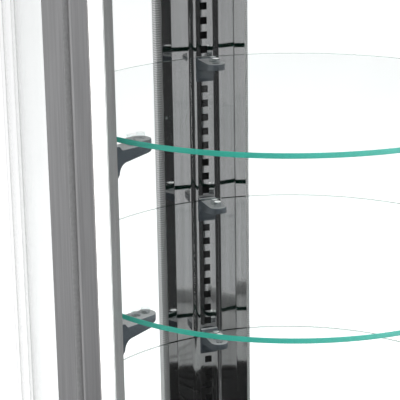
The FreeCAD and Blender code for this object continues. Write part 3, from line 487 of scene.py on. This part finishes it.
lamp_lens = lens_finish("lamp_lens", lamp_strength)[0]
lit_spacer, tree, shader = lens_finish("lit_spacer", strip_strength)
low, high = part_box("door_spacer")
bottom, top = low.z + spacer_bar, high.z - spacer_bar
lit = maths(tree, "MULTIPLY", height_mask(tree, bottom, top), outside_mask(tree, strip_inside))
link(tree, maths(tree, "MULTIPLY", lit, strip_strength), shader.inputs["Emission Strength"])
print("lens between the panes from", round(bottom, 3), "to", round(top, 3))

# %% [markdown]
# ## Perforated spacers
# The bar that keeps two fixed panes apart is a hollow strip filled with drying beads, and it is
# perforated all along so that the beads can reach the air. The holes are only a pattern in its
# finish: light and dark steps along its height.

# %% Spacer finish
hole_pitch = 0.0032

spacer_metal, tree, shader = start_finish("spacer_metal")
turns = maths(tree, "MULTIPLY", along(tree, own_place(tree), "Z"), 2 * math.pi / hole_pitch)
wave = moved_range(tree, maths(tree, "SINE", turns), both_ways, unit)
steps = tones(tree, wave, (0.45, grey(0.58)), (0.6, grey(0.92)))
link(tree, steps, shader.inputs["Base Color"])
fine = noise(tree, pattern_space(tree), scale=400)
link(tree, between(tree, fine, 0.32, 0.5), shader.inputs["Roughness"])
set_sockets(shader, {"Metallic": 0.1})
print("spacer finish", spacer_metal.name)

# %% [markdown]
# ## The floor tray
# The tray lies below the picture, but the polished column mirrors it: pale in front, and dark
# close to the column's foot. So the tray's pale finish gets a round dark field about the foot,
# which is painted shade. One ramp holds both tones, the painted shade pair at its left end and
# the pale pair at its right end, and a mask moves the grain from one end to the other.

# %% Tray enamel
column_foot, painted_shade_reach = (0, 0.31, 0), 0.305
grain_share, shade_field_share = 0.4, 0.6

tray_enamel_painted_shade, tree, shader = start_finish("tray_enamel_painted_shade")
grain = noise(tree, pattern_space(tree), scale=300)
# Painted shade: the round field about the column's foot stays dark, and outside it the tray is
# pale.
pale = outside_mask(tree, painted_shade_reach, column_foot)
place = maths(tree, "ADD", maths(tree, "MULTIPLY", grain, grain_share),
              maths(tree, "MULTIPLY", pale, shade_field_share))
enamel_and_painted_shade = tones(tree, place, (0.14, grey(0.006)), (0.26, grey(0.011)),
               (0.74, grey(0.48)), (0.86, grey(0.54)))
link(tree, enamel_and_painted_shade, shader.inputs["Base Color"])
link(tree, between(tree, grain, 0.6, 0.75), shader.inputs["Roughness"])
link(tree, dents(tree, grain, strength=0.2, depth=0.0003), shader.inputs["Normal"])
set_sockets(shader, {"Specular IOR Level": 0.15})
print("tray finish", tray_enamel_painted_shade.name)

# %% [markdown]
# ## The finishes of a shelf
# Each shelf is a disc of toughened glass with a ground rim. Seen through its faces it is clear,
# and seen on its rim it is green, because light has come a long way through it. So its faces
# take a pane glass that bends light, and the rim has a green finish of its own with painted
# shade and light in it: painted shade makes it dark at the back and deep green at the left,
# and painted light makes it light green toward the lamp on the right. The rim also has a
# painted glow, standing in for the light inside the sheet. Where it is seen from inside, it is
# only a pale line.

# %% Shelf finishes
# The rim's tones are painted shade and light: darkest on the side away from this direction,
# lightest toward the lamp.
painted_light_side = (0.34, -0.94, 0)
rim_greens_painted_shade = [(0.12, (0.003, 0.022, 0.015)), (0.27, (0.002, 0.330, 0.210)),
              (0.41, (0.003, 0.370, 0.230)), (0.50, (0.055, 0.420, 0.320)),
              (0.61, (0.070, 0.400, 0.320)), (0.75, (0.045, 0.370, 0.285)),
              (0.87, (0.070, 0.490, 0.400)), (0.95, (0.115, 0.560, 0.455)),
              (0.99, (0.175, 0.620, 0.540))]
clear_outside, clear_inside = 0.10, 0.8


def toward(tree, direction):
    """0 at the side away from a level direction, 1 at the side toward it."""
    level = vector_maths(tree, "MULTIPLY", own_place(tree), level_only)
    outward = vector_maths(tree, "NORMALIZE", level)
    match = vector_maths(tree, "DOT_PRODUCT", outward, direction)
    return moved_range(tree, match, both_ways, unit)


shelf_glass = pane_finish("shelf_glass", (0.992, 0.997, 0.996), index=1.08, bend=1.5)
shelf_rim_painted_shade, tree, shader = start_finish("shelf_rim_painted_shade")
# Painted shade and light: the rim's green darkens away from the lamp's side and lightens toward
# it.
painted_shade_greens = tones(tree, toward(tree, painted_light_side), *rim_greens_painted_shade)
link(tree, painted_shade_greens, shader.inputs["Base Color"])
# A painted glow: the rim gives out a little light in its own green, though it is no lamp.
link(tree, painted_shade_greens, shader.inputs["Emission Color"])
set_sockets(shader, {"Emission Strength": 0.24, "Specular IOR Level": 0.1})
ground = noise(tree, pattern_space(tree, stretch=(1, 1, 4)), scale=600)
link(tree, between(tree, ground, 0.16, 0.26), shader.inputs["Roughness"])
from_inside = add(tree, "ShaderNodeNewGeometry").outputs["Backfacing"]
share = moved_range(tree, from_inside, unit, (clear_outside, clear_inside))
veil = add(tree, "ShaderNodeBsdfTransparent")
set_sockets(veil, {"Color": (0.60, 0.66, 0.64, 1)})
rim_mix = mix_shaders(tree, share, shader, veil)
link(tree, rim_mix.outputs[0], tree.nodes["Material Output"].inputs["Surface"])
print("shelf finishes", shelf_glass.name, "and", shelf_rim_painted_shade.name)

# %% [markdown]
# ## Shelves
# A shelf is a circle that is filled, extruded upward by the thickness of the glass, and
# bevelled along both of its edges. The flat faces get the pane glass and the rest gets the rim.
# The new piece rides on the body of the solid that it stands for.

# %% Shelves
shelf_count, rim_steps, rim_bevel = 5, 192, 0.0006
same_height = 1e-6
level_face = 0.99


def new_piece(name, shape, finishes, body, stands_for=()):
    mesh = bpy.data.meshes.new(name)
    shape.to_mesh(mesh)
    shape.free()
    for finish in finishes:
        mesh.materials.append(finish)
    piece = bpy.data.objects.new(name, mesh)
    bpy.context.scene.collection.objects.link(piece)
    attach(piece, body)
    if stands_for:
        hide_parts(*stands_for)
    return piece


def lift_faces(shape, faces, height):
    """Extrude flat faces upward, so that they become a closed solid."""
    lifted = bmesh.ops.extrude_face_region(shape, geom=faces)["geom"]
    risen = [v for v in lifted if isinstance(v, bmesh.types.BMVert)]
    bmesh.ops.translate(shape, verts=risen, vec=(0, 0, height))
    bmesh.ops.recalc_face_normals(shape, faces=shape.faces)


def round_edges(shape, edges, width):
    bmesh.ops.bevel(shape, geom=edges, offset=width, affect="EDGES", segments=2, profile=0.5,
                    material=-1)


def round_shelf(number):
    low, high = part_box(f"glass_shelf_{number}")
    shape = bmesh.new()
    bmesh.ops.create_circle(shape, cap_ends=True, segments=rim_steps, radius=high.x)
    bmesh.ops.translate(shape, verts=shape.verts, vec=(0, 0, low.z))
    lift_faces(shape, shape.faces[:], high.z - low.z)
    corners = [e for e in shape.edges
               if abs(e.verts[0].co.z - e.verts[1].co.z) < same_height]
    round_edges(shape, corners, rim_bevel)
    for face in shape.faces:
        flat = abs(face.normal.z) > level_face
        face.material_index = 0 if flat else 1
        face.smooth = not flat
    return new_piece(f"round_shelf_{number}", shape, [shelf_glass, shelf_rim_painted_shade],
                     f"shelf_{number}", [f"glass_shelf_{number}"])


shelves = [round_shelf(number) for number in range(1, shelf_count + 1)]
print(len(shelves), "shelves of", len(shelves[0].data.polygons), "faces")

# %% [markdown]
# ## Clear bumpers
# Two soft clear studs on each bracket carry the shelf. Light goes through their sides, and
# their flat tops, pressed against the glass, look milky and have a faint painted glow. Half of
# the stud's outline is spun about its own axis, and the stud is then copied to its thirty
# places, which are given as a distance from the case's axis and an angle.

# %% Bumpers
stud_radius, stud_height, stud_round, stud_steps = 0.005, 0.007, 0.0008, 24
rests = [(0.253, 205), (0.239, 205), (0.253, 335), (0.239, 335), (0.2765, 90), (0.2625, 90)]
same_place = 1e-6
upward_face = 0.9

clear_bumper = pane_finish("clear_bumper", (0.90, 0.92, 0.92), index=1.35)
milky_top_painted_glow = grey_finish("milky_top_painted_glow", 0.80, 0.90, (0.25, 0.4), grain=500, dent=0.05)
# Painted glow: the milky tops also give a little light of their own, though they are no lamp.
change_finish(milky_top_painted_glow, {"Emission Color": (1, 1, 1, 1), "Emission Strength": 0.25})


def spun_stud():
    shape = bmesh.new()
    outline = [(0, 0), (stud_radius, 0), (stud_radius, stud_height - stud_round)]
    for turn in (30, 60, 90):
        outline.append((stud_radius - stud_round * (1 - math.cos(math.radians(turn))),
                        stud_height - stud_round * (1 - math.sin(math.radians(turn)))))
    outline.append((0, stud_height))
    spots = [shape.verts.new((r, 0, z)) for r, z in outline]
    curve = [shape.edges.new(pair) for pair in zip(spots, spots[1:])]
    bmesh.ops.spin(shape, geom=spots + curve, axis=(0, 0, 1), cent=(0, 0, 0),
                   angle=2 * math.pi, steps=stud_steps, use_merge=True)
    bmesh.ops.remove_doubles(shape, verts=shape.verts, dist=same_place)
    bmesh.ops.recalc_face_normals(shape, faces=shape.faces)
    for face in shape.faces:
        face.material_index = 1 if face.normal.z > upward_face else 0
        face.smooth = abs(face.normal.z) < level_face
    return shape


def ring_place(distance, angle, z):
    turn = math.radians(angle)
    return Vector((distance * math.cos(turn), distance * math.sin(turn), z))


pattern = bpy.data.meshes.new("stud_pattern")
spun_stud().to_mesh(pattern)
studs = bmesh.new()
for number in range(1, shelf_count + 1):
    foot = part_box(f"glass_shelf_{number}")[0].z - stud_height
    for distance, angle in rests:
        before = len(studs.verts)
        studs.from_mesh(pattern)
        studs.verts.ensure_lookup_table()
        bmesh.ops.translate(studs, verts=studs.verts[before:],
                            vec=ring_place(distance, angle, foot))
bumpers = new_piece("clear_studs", studs, [clear_bumper, milky_top_painted_glow], "case",
                    ["bumpers"])
bpy.data.meshes.remove(pattern)
print("bumpers of", len(bumpers.data.polygons), "faces")

# %% [markdown]
# ## The polished column
# The rear column's cover is one sheet of polished steel, roll-formed into a profile: flanges at
# the sides, two flats, and a raised rail with a hollow down its middle. The hollow and the
# rounded shoulders are what paint the dark and light stripes on it, so the profile is drawn
# point by point, extruded upward from slot edge to slot edge, opened at the slots, and then
# given the thickness of the sheet. Two points close together end each flat, so that smooth
# shading leaves the flat truly flat, and a fine groove marks the fold to the flange. The half
# profile is in millimetres, from the flange to the middle.

# %% Column cover
half_section = [(60, 310.6), (48, 313.63), (47.5, 313.75), (46.4, 314.02), (45.5, 314.2),
                (45.2, 314.55), (44.8, 314.6), (44.5, 314.5), (44, 314.5), (23.5, 314.5),
                (23, 314.5), (22, 314.45), (21, 314.1), (19.5, 313.1), (17.5, 311.7),
                (15.5, 310.5), (14, 309.9), (12.8, 309.55), (12, 309.5), (11.2, 309.65),
                (10, 310.05), (8, 310.75), (6, 311.3), (5, 311.5), (4, 311.69),
                (2, 311.92), (0, 312)]
slot_half, slot_first, slot_pitch, slot_count = 0.005, 0.4375, 0.020, 57
sheet_thickness, fold_angle = 0.0014, 40


def in_slot(spot):
    step = (spot.z - slot_first + slot_half) % slot_pitch
    lowest = slot_first - slot_half
    inside = lowest < spot.z < lowest + slot_pitch * slot_count
    return abs(spot.x) < slot_half and inside and step < 2 * slot_half


def slotted_cover():
    low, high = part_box("rear_column_cover")
    across = [(-x, y) for x, y in half_section] + half_section[-2::-1]
    levels = [slot_first + slot_pitch * i + edge
              for i in range(slot_count) for edge in (-slot_half, slot_half)]
    shape = bmesh.new()
    spots = [shape.verts.new((x / 1000, y / 1000, low.z)) for x, y in across]
    row = [shape.edges.new(pair) for pair in zip(spots, spots[1:])]
    height = low.z
    for level in levels + [high.z]:
        made = bmesh.ops.extrude_edge_only(shape, edges=row)["geom"]
        risen = {v for v in made if isinstance(v, bmesh.types.BMVert)}
        bmesh.ops.translate(shape, verts=list(risen), vec=(0, 0, level - height))
        row = [e for e in made if isinstance(e, bmesh.types.BMEdge) and set(e.verts) <= risen]
        height = level
    bmesh.ops.recalc_face_normals(shape, faces=shape.faces)
    if sum(face.normal.y for face in shape.faces) > 0:
        bmesh.ops.reverse_faces(shape, faces=shape.faces)
    slots = [face for face in shape.faces if in_slot(face.calc_center_median())]
    bmesh.ops.delete(shape, geom=slots, context="FACES")
    bmesh.ops.solidify(shape, geom=shape.faces[:], thickness=sheet_thickness)
    for face in shape.faces:
        face.smooth = True
    return new_piece("slotted_cover", shape, [polished_steel], "case",
                     ["rear_column_cover"])


cover = slotted_cover()
cover.data.set_sharp_from_angle(angle=math.radians(fold_angle))
print("cover of", len(cover.data.polygons), "faces, from y",
      [round(f(v.co.y for v in cover.data.vertices), 4) for f in (min, max)])

# %% [markdown]
# ## Seam strip beside the hinge
# The door's hinge stile is rounded so that it can turn in its seam. A soft strip fills the
# mouth of the seam on the jamb's side. It tapers, so that the open door clears it. Its section
# is drawn outward from the case's axis and across, and turned to the hinge's angle.

# %% Seam strip
seam_section = [(0.3290, -0.0015), (0.3398, -0.0015), (0.3396, -0.0011), (0.3322, 0.0009),
                (0.3302, 0.0009)]
hinge_angle = 205


def seam_strip(angle):
    low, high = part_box("door_hinge_stile")
    cos, sin = math.cos(math.radians(angle)), math.sin(math.radians(angle))
    shape = bmesh.new()
    outline = [shape.verts.new((n * cos - t * sin, n * sin + t * cos, low.z))
               for n, t in seam_section]
    end = bmesh.ops.contextual_create(shape, geom=outline)["faces"]
    lift_faces(shape, end, high.z - low.z)
    return new_piece("seam_strip", shape, [seam_vinyl], "case")


strip = seam_strip(hinge_angle)
print("strip of", len(strip.data.polygons), "faces")

# %% [markdown]
# ## Pieces with softened edges
# A moulded or cut edge is never quite sharp, and its rounding catches the light. These pieces
# keep their drawn shape: a copy of the solid is merged, flat triangles are joined, and the
# edges that turn sharply get a small bevel. The tops of the shelf brackets get a paler finish,
# a painted reflection of the bright glass above them.

# %% Softened copies
merge_distance = 2e-6
flat_turn, sharp_turn, shading_turn = math.radians(0.5), math.radians(35), math.radians(25)


def softened(name, width, finish, slot):
    shape = bmesh.new()
    shape.from_mesh(node[name].data)
    bmesh.ops.remove_doubles(shape, verts=shape.verts, dist=merge_distance)
    bmesh.ops.dissolve_limit(shape, angle_limit=flat_turn, verts=shape.verts,
                             edges=shape.edges)
    sharp = [e for e in shape.edges
             if len(e.link_faces) == 2 and e.calc_face_angle(0) > sharp_turn]
    round_edges(shape, sharp, width)
    for face in shape.faces:
        face.smooth = True
    piece = new_piece(f"soft_{name}", shape, [finish], node[name]["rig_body"], [name])
    piece.data.set_sharp_from_angle(angle=shading_turn)
    return piece


soft_edges = [("shelf_brackets", 0.0008, moulded_black, "black_bracket"),
              ("door_handle", 0.0010, brushed_steel, "satin_aluminium"),
              ("control_panel", 0.0005, control_black, "control_black"),
              ("set_button", 0.0007, key_grey, "grey_key"),
              ("up_button", 0.0007, key_grey, "grey_key"),
              ("down_button", 0.0007, key_grey, "grey_key"),
              ("light_switch", 0.0007, control_black, "grey_key"),
              ("power_switch", 0.0007, control_black, "grey_key")]
soft_pieces = [softened(*row) for row in soft_edges]
brackets = soft_pieces[0].data
# The brackets' upward faces get the painted reflection as a second finish.
brackets.materials.append(painted_reflection_top)
for face in brackets.polygons:
    face.material_index = 1 if face.normal.z > upward_face else 0
for piece in soft_pieces:
    print(piece.name, len(piece.data.polygons), "faces")

# %% [markdown]
# ## Finishes for the pieces that keep their solid
# The other pieces keep the shape they were drawn with, and take a finish from the list.

# %% Dress the solids
dress = {
    silver_paint: ["base_shell", "top_cap", "rear_column_cap"],
    satin_aluminium: ["left_jamb", "right_jamb", "door_hinge_stile", "door_lock_stile",
                      "door_bottom_rail", "door_top_rail"],
    rail_aluminium: ["jamb_rails"],
    brushed_steel: ["hinge_brackets", "hinge_pins"],
    zinc_sheet: ["base_pan", "condenser_fan_shroud", "electrical_box", "evaporator_fan_motor"],
    white_liner: ["foam_deck", "roof_slab"],
    column_black: ["rear_column_back"],
    grey_seal: ["glass_seals", "door_gasket"],
    black_rubber: ["compressor_mounts", "levelling_foot_1", "levelling_foot_2",
                   "levelling_foot_3", "levelling_foot_4"],
    black_enamel: ["compressor"],
    fan_plastic: ["condenser_fan", "evaporator_fan", "drip_tray", "power_inlet"],
    tray_enamel_painted_shade: ["floor_tray"],
    bright_fins: ["evaporator"],
    dark_fins: ["condenser"],
    copper: ["copper_lines"],
    smoked_window: ["display_window"],
    spacer_metal: ["glass_spacers"],
    lit_spacer: ["door_spacer"],
    clear_pane: ["left_pane_inner", "left_pane_outer", "right_pane_inner", "right_pane_outer",
                 "door_pane_inner", "door_pane_outer"],
    lamp_lens: ["led_lenses"],
}
for finish, names in dress.items():
    for name in names:
        node[name].data.materials.clear()
        node[name].data.materials.append(finish)
print(sum(len(names) for names in dress.values()), "solids dressed")
